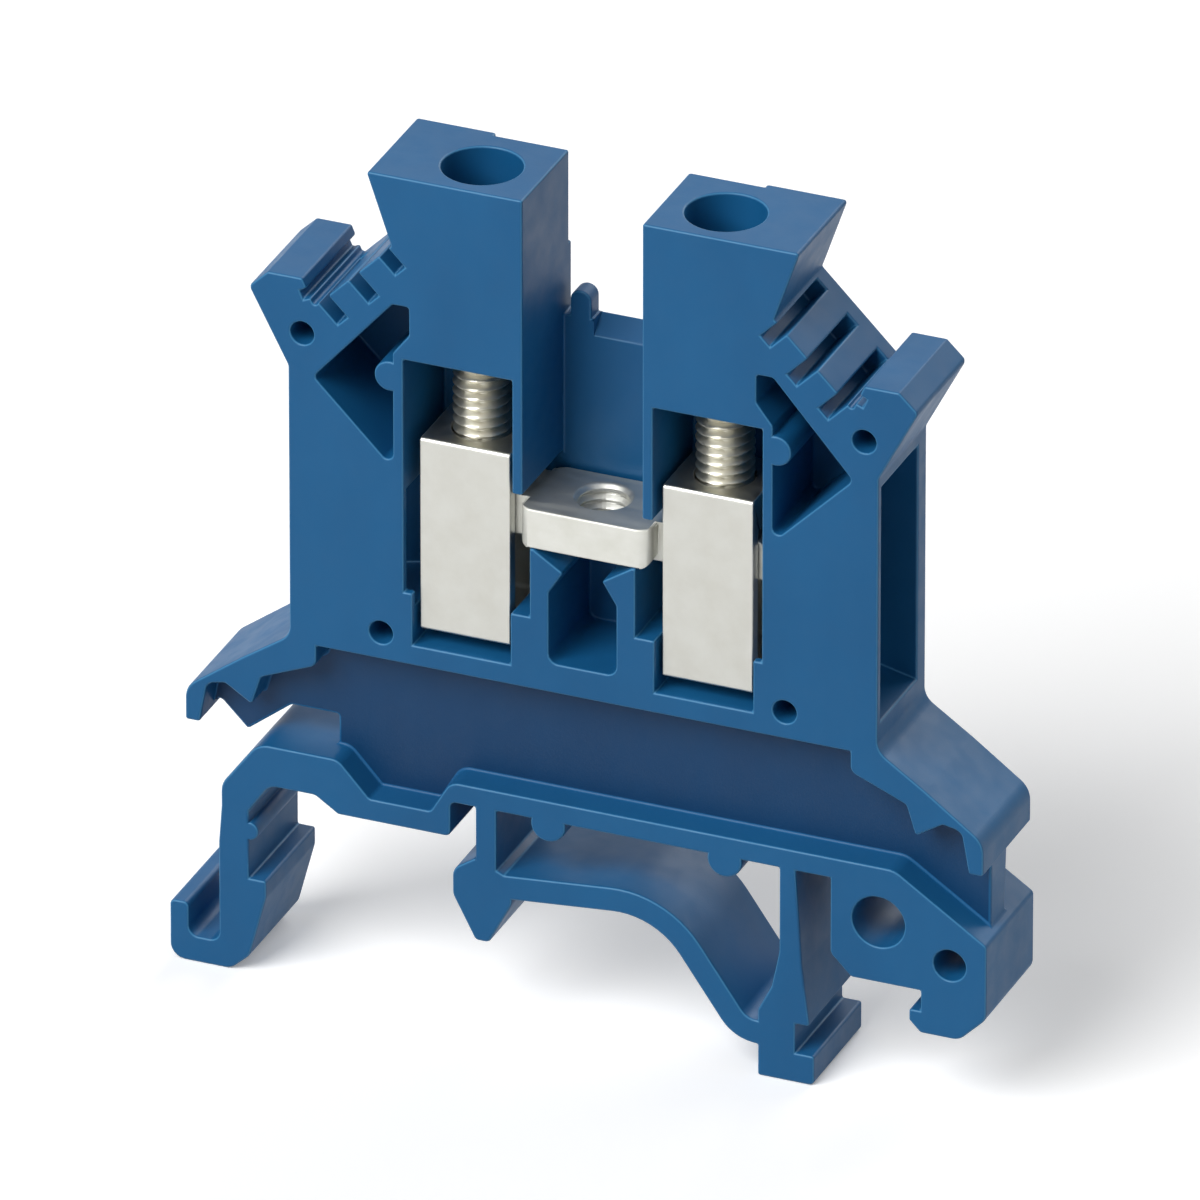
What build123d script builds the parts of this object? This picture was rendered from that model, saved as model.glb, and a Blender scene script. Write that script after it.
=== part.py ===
from build123d import *
import math
import os

# One feed-through screw terminal block for a 35 mm top-hat rail.
# X runs from wire entry to wire entry, Y runs from the open front side to the closed back side,
# Z points up. The origin is the middle of the rail seat, halfway through the block's thickness.
# All sizes are in millimetres.

# Clamp screw and its lifting cage
SCREW_R = 1.45  # outside of the screw thread
THREAD_PITCH = 0.5
SCREW_TURNS = 8  # from fully open to fully closed
THREAD_GAP = 0.05  # radial play between screw and tapped plate
SHANK_GAP = 0.1  # radial play of the screw in the housing
HEAD_GAP = 0.05  # radial play of the head in its pocket
HEAD_RIM = 0.3  # head radius beyond the thread
HEAD_TALL = 1.8
HEAD_SLOT_WIDE = 0.7
HEAD_SLOT_DEEP = 0.9
HEAD_LIFT = 0.05  # play between the screw head and its seat
TIP_GAP = 0.05  # play between the screw tip and the current bar
TIP_CHAMFER = 0.35
HEAD_CHAMFER = 0.18
CAGE_WIDE = 4.7
CAGE_SIDE = 0.7  # front and back walls of the cage
CAGE_FLOOR = 1.2
CAGE_PLATE = 1.9  # thick tapped top
CAGE_SIDE_PLAY = 0.1  # between the screw and the window walls
CAGE_ROUND = 0.2
WINDOW_ROUND = 0.25
PLATE_GAP = 0.6  # open clamp: top plate above the current bar
WIRE_GAP = 4.6  # open clamp: window floor below the current bar

# Current bar
BAR_THICK = 2.1
SHOULDER_GAP = 0.55  # between its wide middle and the cages
BAR_FRONT_GAP = 0.1  # wide middle behind the open front
BAR_BACK_GAP = 0.2
BAR_CORNER = 0.75  # corners of the wide middle, seen from above
TONGUE_PLAY = 0.1  # bar ends inside the cage windows
TONGUE_REACH = 0.3  # bar ends past the cages
BRIDGE_R = 1.25  # core of the tapped hole for a bridge screw
BRIDGE_CHAMFER = 0.25
GRIP_DEEP = 0.2
GRIP_STEP = 1.0
GRIP_COUNT = 3

# Housing walls
BACK_WALL = 1.1
CAGE_BACK_GAP = 0.1
CAGE_FRONT_GAP = 0.5  # cages behind the open front
FRONT_SKIN = 0.5  # covers the wire funnels on the front side
SHAFT_WALL = 0.55
BODY_WALL = 1.1  # under the clamp chambers
RIB_WALL = 0.55  # between chamber and corner cavity

# Radii of moulded corners
CRISP = 0.15
SMALL_ROUND = 0.3
ROUND = 0.5
WIDE_ROUND = 0.8
BROAD_ROUND = 1.2

# Clamp chambers and screw seats
CHAMBER_SIDE = 0.65  # room outside each cage
CHAMBER_GAP = 0.3  # room between each cage and the shaft wall
CHAMBER_TOP = 0.3  # room above a closed cage
CHAMBER_FOOT = 0.7  # room below an open cage
GUIDE_SIDE = 0.2  # room beside the cage between its lower guides
GUIDE_TALL = 2.8
SEAT_WALL = 1.5  # ceiling that carries the screw head
HEAD_POCKET = 2.8  # depth of the seat's own bore
DRIVER_RIM = 0.18  # screwdriver guide wider in radius than the head pocket
DRIVER_LONG = 5.5

# Towers and bridge shaft; drops are measured down from the tower tops
TOWER_OVER = 1.3  # tower tops reach out over the marker grooves
SHAFT_HALF = 3.1
SHAFT_LIFT = 0.7  # lower ends of the shaft walls above the current bar
SHAFT_BACK_DROP = 8.5  # top edge of the shaft's back wall
SHAFT_BACK_SLOPE = 0.9
SHAFT_BACK_NOTCH = 1.6  # width of its plain corner
NUB_R = 0.55
NUB_RISE = 0.85  # centre of its round top above the back wall
NUB_INSET = 0.9  # from the shaft's left wall
RELIEF_WIDE = 3.9  # shallow step on the back of each tower
RELIEF_TALL = 5.0
RELIEF_DEEP = 0.3

# Marker grooves and wings
GROOVE_OUT, GROOVE_DROP = 0.6, 3.8  # its inner end, outside the chamber
GROOVE_LONG = 5.7  # along its floor, at 45 degrees
LIP_RISE = 1.4
LIP_WIDE = 1.8
LIP_LEAN = 0.6
NOSE_WIDE, NOSE_FALL = 1.0, 0.95  # slanted nose outside the lip
WING_THICK = 3.9  # below the lip, down to the flank
FLANK_ROOM = 6.0  # flank outside each chamber
POCKET_WIDE = 0.7
POCKET_PLACES = [0.55, 2.8, 5.0]  # along the groove floor
POCKET_DEPTHS = [1.2, 1.5, 1.4]
UNDERCUT_RISE, UNDERCUT_TALL = 0.45, 0.5  # along the lip's inner side, from its foot up
UNDERCUT_DEEP = 0.4

# Corner cavities between the marker wings and the clamp chambers
CAVITY_WALL = 1.3  # between the cavity and the wire funnel
CAVITY_TALL = 8.8
CAVITY_WIDE = 4.1
CAVITY_DROP = 0.35  # widest place below the wing root
CAVITY_NUB_R = 0.8
CAVITY_NUB_OUT = 0.15  # its centre outside the chamber rib
JOG_DEEP = 0.85
JOG_TALL = 1.5
JOG_SLOPE = 1.1

# Wire funnels in the flanks
MOUTH_RISE = 0.6  # above the chamber floor
MOUTH_DROP = 0.6  # below the wing
THROAT_RISE = 0.1  # above the window floor of an open cage

# Pocket under the current bar
POCKET_HALF = 1.75
POCKET_WALL = 1.0
POCKET_FLOOR = 0.5  # above the chamber floor
HOOK_REACH = 0.75
HOOK_TALL = 1.2
HOOK_DROP = 1.0
HOOK_SLOPE = 1.55  # width of its slanted top

# Blind holes for the pins of the next block or of an end cover
PIN_R = 0.6
PIN_DEEP = 2.5
PIN_FLANK, PIN_DROP = 0.75, 9.4  # upper pair, from the flank and the tower tops
PIN_RIB, PIN_RISE = 1.2, 0.35  # lower pair, from the chamber's outer wall and its floor

# Lower wings; falls are measured down from the bottom edge of the body
WING_OUT = 5.5  # tip outside the flank
WING_TIP_WIDE = 0.75
WING_TIP_FALL = 3.6
WING_TIP_LOW = 5.4
WING_MID_OUT, WING_MID_FALL = 2.5, 1.4
WING_MID_R = 3.0
WING_THIN = 1.1  # thickness beside the label field
TOOTH_OUT, TOOTH_FALL = 2.0, 3.9
TOOTH_LEAN = 0.5
TOOTH_TALL = 1.6
TOOTH_BACK = 1.4  # from the tooth to the notch behind it
NOTCH_FALL = 3.0
TIP_HEEL = 0.4
FLANK_TOE = 0.3  # lower end of the flank above the bottom edge
FLANK_R = 1.0
FIELD_IN = 1.4  # end of the label field inside the flank
FIELD_TALL = 6.0  # from the foot up to the body

# Recessed web with the bare label field
WEB_FRONT = 1.6
WEB_THICK = 1.8
WEB_EDGE = 0.2  # behind the outline of the lower wings
WEB_TOOTH_OUT, WEB_TOOTH_DROP = 2.3, 0.2
WEB_NOTCH_OUT, WEB_NOTCH_RISE = 1.4, 1.2

# Rail foot
RAIL_HALF = 17.5  # half of a 35 mm rail
RAIL_SHEET = 1.0
RAIL_FLANGE = 4.0  # outside the channel's wall
RAIL_FLOOR = 6.5  # depth of that channel
RAIL_PLAY = 0.1
FOOT_TOP = 6.3
FOOT_BAR = 1.1
DIP_END = 1.85  # thinned flexing stretch of the bar ends left of the strut
DIP_DEEP = 1.8
DIP_FALL, DIP_CLIMB = 1.65, 1.05  # widths of its slopes, beside the latch and beside the strut
DIP_THICK = 1.2
SLIT = 1.6  # between the latch bar and the web
SLIT_IN, SLIT_LEVEL = 4.1, 2.5  # its blind end inside the rail edge

# Latch arm and its release tab
ARM_THICK = 1.45
ARM_SLANT = 1.95  # width of the slant at its shoulder
SHOULDER_DROP = 2.6  # below the foot's top
ROOF_THICK = 2.2
ROOF_IN, ROOF_LONG, ROOF_SLOPE = 1.1, 2.4, 1.2
ROOT_DROP = 1.6  # below its roof
ARM_BEND = 0.5
ARM_LEAN = 0.15
CATCH_REACH = 0.9
CATCH_PLAY = 0.2
CATCH_TALL = 0.9
TOE_BACK, TOE_RISE = 0.9, 0.9  # underside of the arm behind the catch
HEEL_BACK = 1.9
ARM_NUB_R = 0.5
ARM_NUB_Z = 1.4
TAB_ROOM = 1.6  # between the arm and the tab's free wall
TAB_WALL = 1.0
TAB_TALL = 3.2
TAB_DROP = 6.4  # its underside below the rail seat
TAB_FLOOR = 1.4

# Strut with its bulb
STRUT_X = 5.05
STRUT_WIDE = 1.1
BULB_LEFT, BULB_RIGHT = 1.75, 1.35  # from the strut's middle
BULB_TOP, BULB_SHOULDER, BULB_WAIST, BULB_LOW = 2.4, 1.6, 0.2, -2.1
BULB_SOLE = 0.15

# Spring leaf and leg
LEAF_THICK = 1.3
LEAF_START_OUT, LEAF_START_Z = 0.25, 1.0  # inside the bulb
LEAF_KNEE_IN, LEAF_KNEE_Z = 6.55, 1.85  # from the leg's middle
LEAF_ANKLE_IN, LEAF_ANKLE_Z = 2.45, -4.0
LEAF_END_DROP = 0.2
LEAF_KNEE_R = 4.5
LEAF_ANKLE_R = 1.6
LEG_IN = 1.85  # its middle from the channel wall
LEG_WIDE = 0.8
LEG_SPREAD = 0.4
LEG_SOLE = 1.5  # sole's inner end from the leg's middle
LEG_WAIST, LEG_CALF, LEG_HEEL = 0.6, -1.4, -2.8
LEG_CUT = 1.6
LEG_CUT_DEEP = 1.0
SOLE_TALL = 1.6
SOLE_GAP = 0.4
KNOB_R = 0.9
KNOB_INS = [12.45, 3.25]  # from the leg's middle
KNOB_LIFT = 0.2

# Fixed foot on the right
SEAT_WIDE = 3.5  # rests on the rail's flange
SEAT_SLANT = 1.1  # at its inner end
FIXED_WIDE = 3.5  # outside the rail edge
FIXED_SLANT = 4.8  # width of the slant on top
FIXED_CORNER = 3.1
FIXED_BOTTOM = -2.3
FIXED_BEVEL = 1.4
HOOK_FLOOR_REACH = 0.6
LARGE_HOLE_IN, LARGE_HOLE_Z = 2.1, 3.3  # from the rail edge
LARGE_HOLE_R = 1.35
SMALL_HOLE_OUT, SMALL_HOLE_Z = 1.6, 1.7
SMALL_HOLE_R = 0.82

# Cutting tools reach this far past the faces that they open
PAST = 1.0
PAST_GROOVE = 0.25  # inside the narrow marker grooves

# Depths that follow from the sizes above
window_half = SCREW_R + CAGE_SIDE_PLAY
cage_half_deep = window_half + CAGE_SIDE
screw_depth = CAGE_FRONT_GAP + cage_half_deep
cavity_depth = screw_depth + cage_half_deep + CAGE_BACK_GAP
thickness = cavity_depth + BACK_WALL
screw_y = screw_depth - thickness / 2

# Heights, from the rail seat up
foot_under = FOOT_TOP - FOOT_BAR
bar_middle = foot_under + FOOT_BAR / 2
body_bottom = FOOT_TOP + FIELD_TALL
chamber_floor = body_bottom + BODY_WALL
cage_bottom = chamber_floor + CHAMBER_FOOT
window_floor = cage_bottom + CAGE_FLOOR
bar_bottom = window_floor + WIRE_GAP
bar_top = bar_bottom + BAR_THICK
plate_bottom = bar_top + PLATE_GAP
plate_top = plate_bottom + CAGE_PLATE
travel = SCREW_TURNS * THREAD_PITCH
chamber_ceiling = plate_top + travel + CHAMBER_TOP
head_seat = chamber_ceiling + SEAT_WALL
pocket_top = head_seat + HEAD_POCKET
tower_top = pocket_top + DRIVER_LONG

# Places across the block, from its middle out
head_r = SCREW_R + HEAD_RIM
chamber_inner = SHAFT_HALF + SHAFT_WALL
clamp_x = chamber_inner + CHAMBER_GAP + CAGE_WIDE / 2
chamber_outer = clamp_x + CAGE_WIDE / 2 + CHAMBER_SIDE
pocket_outer = POCKET_HALF + POCKET_WALL
flank = chamber_outer + FLANK_ROOM
wing_tip = flank + WING_OUT
tip_low = body_bottom - WING_TIP_LOW
tip_high = body_bottom - WING_TIP_FALL
field_edge = flank - FIELD_IN

# Marker grooves, wings and cavities
groove_x, groove_z = chamber_outer + GROOVE_OUT, tower_top - GROOVE_DROP
groove_step = GROOVE_LONG * 0.5**0.5
groove_end_x, groove_end_z = groove_x + groove_step, groove_z - groove_step
lip_x, lip_z = groove_end_x + LIP_LEAN, groove_end_z + LIP_RISE
nose_x, nose_z = lip_x + LIP_WIDE + NOSE_WIDE, lip_z - NOSE_FALL
wing_root = nose_z - WING_THICK
cavity_x = chamber_outer + RIB_WALL
cavity_mid = wing_root - CAVITY_DROP
cavity_low = cavity_mid - CAVITY_WIDE

# Foot, from the edges of the rail
arm_outer = RAIL_HALF + ARM_THICK
foot_left = arm_outer - ARM_SLANT
arm_roof = FOOT_TOP - ROOF_THICK
arm_root = arm_roof - ROOT_DROP
roof_left = RAIL_HALF - ROOF_IN
roof_right = roof_left - ROOF_LONG
dip_left = roof_right - ROOF_SLOPE
dip_right = STRUT_X + DIP_END
strut_left = -STRUT_X - STRUT_WIDE / 2
strut_right = -STRUT_X + STRUT_WIDE / 2
rail_hat = RAIL_HALF - RAIL_FLANGE - RAIL_SHEET
leg_x = rail_hat - LEG_IN
seat_left = RAIL_HALF - SEAT_WIDE
fixed_left = seat_left - SEAT_SLANT
fixed_right = RAIL_HALF + FIXED_WIDE
fixed_top_end = fixed_right - FIXED_SLANT


def outline(*corners):
    """Close an outline through corners given as (x, z) or as (x, z, corner radius)."""
    points = [corner[:2] for corner in corners]
    radii = [corner[2] if len(corner) == 3 else 0 for corner in corners]
    return make_face(FilletPolyline(*points, radius=radii, close=True))


def symmetric(*right):
    """Close an outline from its right half, given from the bottom to the top."""
    return outline(*right, *[(-x, *rest) for x, *rest in reversed(right)])


def rectangle(x0, x1, z0, z1):
    """Draw an upright rectangle between two places across and two heights."""
    return outline((x0, z0), (x1, z0), (x1, z1), (x0, z1))


def disc(x, z, radius):
    """Draw a round outline on the front plane."""
    return Pos(x, z) * Circle(radius)


def slab(face, front, back):
    """Give an outline thickness between two depths behind the open front side."""
    return extrude(Plane.XZ.offset(thickness / 2 - back) * face, amount=back - front)


def upright(x, radius, low, high):
    """Stand a round bar on a screw axis between two heights."""
    bottom = (Align.CENTER, Align.CENTER, Align.MIN)
    return Pos(x, screw_y, low) * Cylinder(radius, high - low, align=bottom)


def both_sides(shape):
    """Repeat a shape of the right half on the left."""
    return shape + mirror(shape, about=Plane.YZ)


def body():
    """Towers, marker wings, flanks and lower wings as one full-thickness form."""
    tip_inner = wing_tip - WING_TIP_WIDE
    tooth_x, tooth_low = flank + TOOTH_OUT, body_bottom - TOOTH_FALL
    face = symmetric(
        (field_edge, body_bottom),
        (field_edge, body_bottom - WING_THIN, ROUND),
        (tooth_x - TOOTH_LEAN, tooth_low + TOOTH_TALL, SMALL_ROUND),
        (tooth_x, tooth_low, CRISP),
        (tooth_x + TOOTH_BACK, body_bottom - NOTCH_FALL, SMALL_ROUND),
        (tip_inner - TIP_HEEL, tip_high + TIP_HEEL, ROUND),
        (tip_inner, tip_low, CRISP),
        (wing_tip, tip_low, CRISP),
        (wing_tip, tip_high, BROAD_ROUND),
        (flank + WING_MID_OUT, body_bottom - WING_MID_FALL, WING_MID_R),
        (flank, body_bottom + FLANK_TOE, FLANK_R),
        (flank, wing_root, ROUND),
        (nose_x, nose_z, SMALL_ROUND),
        (lip_x + LIP_WIDE, lip_z, CRISP),
        (lip_x, lip_z, CRISP),
        (groove_end_x, groove_end_z, CRISP),
        (groove_x, groove_z, CRISP),
        (groove_x + TOWER_OVER, tower_top, CRISP),
    )
    return slab(face, 0, thickness)


def bridge_shaft():
    """Room above the current bar between the towers, with a back wall in its lower part."""
    back_top = tower_top - SHAFT_BACK_DROP
    front_part = rectangle(-SHAFT_HALF, SHAFT_HALF, bar_top, tower_top + PAST)
    open_part = rectangle(-SHAFT_HALF, SHAFT_HALF, back_top, tower_top + PAST)
    room = slab(front_part, -PAST, cavity_depth) + slab(open_part, -PAST, thickness + PAST)
    slope_left = -SHAFT_HALF + SHAFT_BACK_NOTCH
    edge_y = cavity_depth - thickness / 2
    edge_low = (edge_y, back_top - SHAFT_BACK_SLOPE)
    slope = Polyline(edge_low, (edge_y + BACK_WALL, back_top), (edge_y, back_top), close=True)
    wedge = extrude(Plane.YZ.offset(slope_left) * make_face(slope), amount=SHAFT_HALF - slope_left)
    nub_x, nub_z = -SHAFT_HALF + NUB_INSET, back_top + NUB_RISE
    nub = rectangle(nub_x - NUB_R, nub_x + NUB_R, back_top - PAST, nub_z) + disc(nub_x, nub_z, NUB_R)
    return room + wedge - slab(nub, cavity_depth, thickness)


def clamp_chamber():
    """Room for one cage, wide above its guides and open to the pocket wall under the bar."""
    guide_top = chamber_floor + GUIDE_TALL
    guide = CAGE_WIDE / 2 + GUIDE_SIDE
    wall_end = bar_top + SHAFT_LIFT
    face = outline(
        (clamp_x - guide, chamber_floor),
        (clamp_x + guide, chamber_floor),
        (clamp_x + guide, guide_top),
        (chamber_outer, guide_top),
        (chamber_outer, chamber_ceiling),
        (chamber_inner, chamber_ceiling),
        (chamber_inner, wall_end),
        (0, wall_end),
        (0, bar_bottom),
        (pocket_outer, bar_bottom),
        (pocket_outer, guide_top),
        (clamp_x - guide, guide_top),
    )
    return slab(face, -PAST, cavity_depth)


def screw_seat():
    """Shank hole, head pocket and screwdriver guide above one clamp chamber."""
    driver_r = head_r + HEAD_GAP + DRIVER_RIM
    shank = upright(clamp_x, SCREW_R + SHANK_GAP, chamber_ceiling - PAST, head_seat + PAST)
    pocket = upright(clamp_x, head_r + HEAD_GAP, head_seat, pocket_top)
    guide = upright(clamp_x, driver_r, pocket_top, tower_top + PAST)
    return shank + pocket + guide


def link_pocket():
    """Pocket under the current bar, narrowed at its top by two hooks."""
    hook_top = bar_bottom - HOOK_DROP
    hook_low = hook_top - HOOK_TALL
    hook_tip = POCKET_HALF - HOOK_REACH
    face = symmetric(
        (POCKET_HALF, chamber_floor + POCKET_FLOOR, ROUND),
        (POCKET_HALF, hook_low, CRISP),
        (hook_tip, hook_top, CRISP),
        (hook_tip + HOOK_SLOPE, bar_bottom),
    )
    return slab(face, -PAST, cavity_depth)


def corner_cavity():
    """Cored triangle between marker wing, chamber and wire funnel, with a round nub."""
    cavity_top = cavity_low + CAVITY_TALL
    jog_low = cavity_top - JOG_TALL
    face = outline(
        (cavity_x, cavity_low, SMALL_ROUND),
        (cavity_x + CAVITY_WIDE, cavity_mid, SMALL_ROUND),
        (cavity_x, cavity_top, SMALL_ROUND),
        (cavity_x - JOG_DEEP, cavity_top, CRISP),
        (cavity_x - JOG_DEEP, jog_low, SMALL_ROUND),
        (cavity_x, jog_low - JOG_SLOPE, SMALL_ROUND),
    )
    nub = disc(cavity_x + CAVITY_NUB_OUT, cavity_mid + CAVITY_NUB_R, CAVITY_NUB_R)
    return slab(face - nub, -PAST, cavity_depth)


def wire_funnel():
    """Tapered way from the flank into the clamp chamber, closed on the front by a thin skin."""
    mouth_low, mouth_top = chamber_floor + MOUTH_RISE, wing_root - MOUTH_DROP
    throat_low = window_floor + THROAT_RISE
    throat_top = cavity_low - CAVITY_WALL
    face = outline(
        (chamber_outer - PAST, throat_low),
        (chamber_outer, throat_low),
        (flank, mouth_low),
        (flank + PAST, mouth_low),
        (flank + PAST, mouth_top),
        (flank, mouth_top),
        (chamber_outer, throat_top),
        (chamber_outer - PAST, throat_top),
    )
    return slab(face, FRONT_SKIN, cavity_depth)


def marker_pockets():
    """Three pockets across the floor of the marker groove, closed at the back."""
    cuts = []
    for place, deep in zip(POCKET_PLACES, POCKET_DEPTHS):
        step = place * 0.5**0.5
        slot = Rectangle(POCKET_WIDE, deep + PAST_GROOVE, align=(Align.CENTER, Align.MAX))
        mouth = Pos(groove_x + step, groove_z - step) * Rot(0, 0, -45) * Pos(0, PAST_GROOVE)
        cuts.append(mouth * slot)
    return slab(Sketch() + cuts, -PAST, cavity_depth)


def lip_undercut():
    """Notch along the inner side of the lip, which holds down the edge of a marker strip."""
    lean = math.degrees(math.atan2(LIP_LEAN, LIP_RISE))
    corner = (Align.MIN, Align.MIN)
    notch = Rectangle(UNDERCUT_DEEP + PAST_GROOVE, UNDERCUT_TALL, align=corner)
    place = Pos(groove_end_x, groove_end_z) * Rot(0, 0, -lean) * Pos(-PAST_GROOVE, UNDERCUT_RISE)
    return slab(place * notch, -PAST, thickness + PAST)


def pin_holes():
    """Blind holes on the front side that take the pins of the neighbour."""
    upper = disc(flank - PIN_FLANK, tower_top - PIN_DROP, PIN_R)
    lower = disc(chamber_outer + PIN_RIB, chamber_floor + PIN_RISE, PIN_R)
    return slab(upper + lower, -PAST, PIN_DEEP)


def tower_relief():
    """Shallow step on the back of a tower, beside the bridge shaft."""
    right, low = SHAFT_HALF + RELIEF_WIDE, tower_top - RELIEF_TALL
    face = rectangle(SHAFT_HALF - PAST, right, low, tower_top + PAST)
    return slab(face, thickness - RELIEF_DEEP, thickness + PAST)


def label_web():
    """Recessed web that joins the body to the foot and carries the bare label field."""
    slit_top = FOOT_TOP + SLIT
    inside_body = body_bottom + BODY_WALL / 2
    edge_x = wing_tip - WEB_EDGE
    slit_end = RAIL_HALF - SLIT_IN
    tooth_x = slit_end + SLIT_LEVEL + WEB_TOOTH_OUT
    inside_dip = FOOT_TOP - DIP_DEEP - DIP_THICK / 3
    face = outline(
        (-slit_end, inside_dip),
        (-slit_end, slit_top, CRISP),
        (-slit_end - SLIT_LEVEL, slit_top, ROUND),
        (-tooth_x, FOOT_TOP - WEB_TOOTH_DROP, CRISP),
        (-tooth_x - WEB_NOTCH_OUT, FOOT_TOP + WEB_NOTCH_RISE, SMALL_ROUND),
        (-edge_x, tip_low + WEB_EDGE),
        (-edge_x, tip_high),
        (-field_edge, inside_body),
        (field_edge, inside_body),
        (edge_x, tip_high),
        (fixed_right - 2 * WEB_EDGE, FIXED_CORNER + WEB_EDGE),
        (fixed_top_end, foot_under),
        (-dip_right, foot_under),
        (-dip_right - DIP_CLIMB, inside_dip),
    )
    return slab(face, WEB_FRONT, WEB_FRONT + WEB_THICK)


def foot_bar():
    """Beam over the rail with its thinned flexing stretch beside the latch."""
    dip_z = FOOT_TOP - DIP_DEEP
    dip_under = dip_z - DIP_THICK
    return outline(
        (-foot_left, FOOT_TOP, BROAD_ROUND),
        (-dip_left, FOOT_TOP, WIDE_ROUND),
        (-dip_left + DIP_FALL, dip_z, SMALL_ROUND),
        (-dip_right - DIP_CLIMB, dip_z, SMALL_ROUND),
        (-dip_right, FOOT_TOP, WIDE_ROUND),
        (seat_left, FOOT_TOP),
        (seat_left, foot_under),
        (strut_right, foot_under),
        (-dip_right, foot_under, SMALL_ROUND),
        (-dip_right, dip_under, SMALL_ROUND),
        (-dip_left, dip_under, SMALL_ROUND),
        (-roof_right, arm_roof, ROUND),
        (-roof_left, arm_roof, WIDE_ROUND),
        (-RAIL_HALF, arm_root),
        (-arm_outer, arm_root),
        (-arm_outer, FOOT_TOP - SHOULDER_DROP, BROAD_ROUND),
    )


def latch_arm():
    """Springy arm that hooks under the left rail edge, with a bowed tab to pull it free."""
    catch_top = -RAIL_SHEET - CATCH_PLAY
    catch_x = -RAIL_HALF + CATCH_REACH
    arm_under = -arm_outer - ARM_LEAN
    tab_inner = arm_under - TAB_ROOM
    tab_outer = tab_inner - TAB_WALL
    tab_low = -TAB_DROP
    tab_top, tab_floor = tab_low + TAB_TALL, tab_low + TAB_FLOOR
    arm = outline(
        (-arm_outer, arm_root),
        (-RAIL_HALF, arm_root),
        (-RAIL_HALF, catch_top),
        (catch_x, catch_top, CRISP),
        (catch_x, catch_top - CATCH_TALL, WIDE_ROUND),
        (catch_x - TOE_BACK, tab_low + TOE_RISE, WIDE_ROUND),
        (catch_x - HEEL_BACK, tab_low, WIDE_ROUND),
        (tab_outer, tab_low, WIDE_ROUND),
        (tab_outer, tab_top, SMALL_ROUND),
        (tab_inner, tab_top, SMALL_ROUND),
        (tab_inner, tab_floor, ROUND),
        (arm_under, tab_floor, ROUND),
        (arm_under, ARM_BEND),
    )
    return arm + disc(-RAIL_HALF, ARM_NUB_Z, ARM_NUB_R)


def strut():
    """Stub under the beam that swells into a bulb inside the rail."""
    bulb_left, bulb_right = -STRUT_X - BULB_LEFT, -STRUT_X + BULB_RIGHT
    stem = rectangle(strut_left, strut_right, BULB_WAIST, bar_middle)
    bulb = outline(
        (strut_left, BULB_TOP, SMALL_ROUND),
        (bulb_left, BULB_SHOULDER, WIDE_ROUND),
        (bulb_left, BULB_WAIST, WIDE_ROUND),
        (strut_left, BULB_LOW, SMALL_ROUND),
        (-STRUT_X + BULB_SOLE, BULB_LOW, SMALL_ROUND),
        (bulb_right, BULB_WAIST, WIDE_ROUND),
        (bulb_right, BULB_SHOULDER),
    )
    return stem + bulb


def spring_leaf():
    """Bowed leaf that runs from the strut's bulb to the leg."""
    start = (-STRUT_X - LEAF_START_OUT, LEAF_START_Z)
    knee = (leg_x - LEAF_KNEE_IN, LEAF_KNEE_Z)
    ankle = (leg_x - LEAF_ANKLE_IN, LEAF_ANKLE_Z)
    end = (leg_x, LEAF_ANKLE_Z - LEAF_END_DROP)
    path = FilletPolyline(start, knee, ankle, end, radius=[LEAF_KNEE_R, LEAF_ANKLE_R])
    return trace(path, LEAF_THICK)


def foot_leg():
    """Slender leg that stands in the rail's channel, with a notched sole."""
    left, right = leg_x - LEG_WIDE / 2, leg_x + LEG_WIDE / 2
    sole_bottom = -RAIL_FLOOR + RAIL_PLAY
    sole_right = rail_hat - SOLE_GAP
    cut_low = sole_bottom + SOLE_TALL
    return outline(
        (left, bar_middle),
        (right, bar_middle),
        (right + LEG_SPREAD, 0),
        (right + 2 * LEG_SPREAD, cut_low + LEG_CUT, CRISP),
        (sole_right - LEG_CUT_DEEP, cut_low + LEG_CUT),
        (sole_right - LEG_CUT_DEEP, cut_low),
        (sole_right, cut_low, CRISP),
        (sole_right, sole_bottom, SMALL_ROUND),
        (leg_x - LEG_SOLE, sole_bottom, CRISP),
        (leg_x - LEG_SOLE, LEG_HEEL, SMALL_ROUND),
        (left - LEG_SPREAD, LEG_CALF, WIDE_ROUND),
        (left, LEG_WAIST),
    )


def fixed_foot():
    """Rigid foot on the right: rail seat, hook under the rail edge and two round holes."""
    hook_top = -RAIL_SHEET - RAIL_PLAY
    rail_edge = RAIL_HALF + RAIL_PLAY
    hook_end = rail_edge - HOOK_FLOOR_REACH
    return outline(
        (fixed_left, FOOT_TOP),
        (fixed_top_end, FOOT_TOP, BROAD_ROUND),
        (fixed_right, FIXED_CORNER, SMALL_ROUND),
        (fixed_right, FIXED_BOTTOM + FIXED_BEVEL, WIDE_ROUND),
        (fixed_right - FIXED_BEVEL, FIXED_BOTTOM, WIDE_ROUND),
        (rail_edge, FIXED_BOTTOM, SMALL_ROUND),
        (hook_end, FIXED_BOTTOM + HOOK_FLOOR_REACH, CRISP),
        (hook_end, hook_top, CRISP),
        (rail_edge, hook_top),
        (rail_edge, 0),
        (seat_left, 0, SMALL_ROUND),
        (fixed_left, SEAT_SLANT, ROUND),
    )


def foot_holes():
    """The two round holes through the fixed foot."""
    large = disc(RAIL_HALF - LARGE_HOLE_IN, LARGE_HOLE_Z, LARGE_HOLE_R)
    small = disc(RAIL_HALF + SMALL_HOLE_OUT, SMALL_HOLE_Z, SMALL_HOLE_R)
    return large + small


def foot_knobs():
    """Half-round stops under the beam, above the spring leaf."""
    return [disc(leg_x - inside, foot_under - KNOB_LIFT, KNOB_R) for inside in KNOB_INS]


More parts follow.
